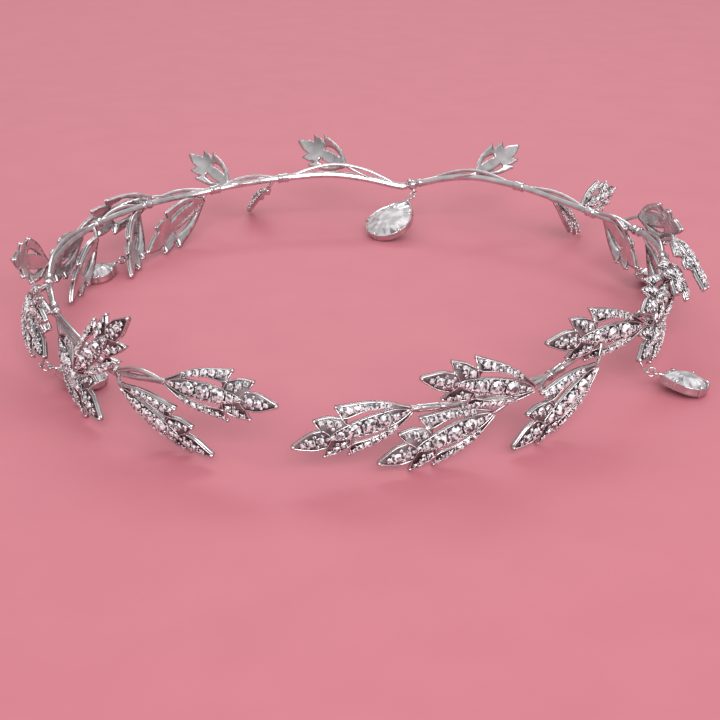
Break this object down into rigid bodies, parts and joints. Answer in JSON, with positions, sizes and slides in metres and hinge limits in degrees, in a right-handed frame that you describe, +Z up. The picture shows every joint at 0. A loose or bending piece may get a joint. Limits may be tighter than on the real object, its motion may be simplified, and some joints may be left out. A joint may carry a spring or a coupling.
{
  "type": "crystal crown",
  "caption": "Open crown of pierced leaves in silver-coloured metal, set with clear stones, on jointed wire stems, with pear-shaped drops on jump rings.",
  "frame": {"origin": "centre of the crown's outer box in X and Y, on the surface that it lies on", "axes": "+Z up, the forehead towards -Y, the opening at the back of the head towards +Y, the wearer's right towards -X"},
  "size_m": [0.1714, 0.1794, 0.0282],
  "materials": {
    "silver": "polished silver-coloured plating",
    "crystal": "clear, faceted"
  },
  "bodies": {
    "root": {"sprig_right_1": "silver", "sprig_right_2": "silver", "sprig_right_3": "silver", "sprig_right_4": "silver", "sprig_right_5": "silver", "sprig_right_6": "silver", "sprig_right_7": "silver", "sprig_right_8": "silver", "sprig_left_1": "silver", "sprig_left_2": "silver", "sprig_left_3": "silver", "sprig_left_4": "silver", "sprig_left_5": "silver", "sprig_left_6": "silver", "sprig_left_7": "silver", "sprig_left_8": "silver", "front_knot": "silver", "leaf_stones_right": "crystal", "leaf_stones_left": "crystal", "drop_front_ring": "silver", "drop_right_ring": "silver", "drop_right_temple_ring": "silver", "drop_left_temple_ring": "silver", "drop_left_ring": "silver", "drop_front_setting": "silver", "drop_right_setting": "silver", "drop_right_temple_setting": "silver", "drop_left_temple_setting": "silver", "drop_left_setting": "silver", "drop_front_stone": "crystal", "drop_right_stone": "crystal", "drop_right_temple_stone": "crystal", "drop_left_temple_stone": "crystal", "drop_left_stone": "crystal"}
  },
  "joints": []
}
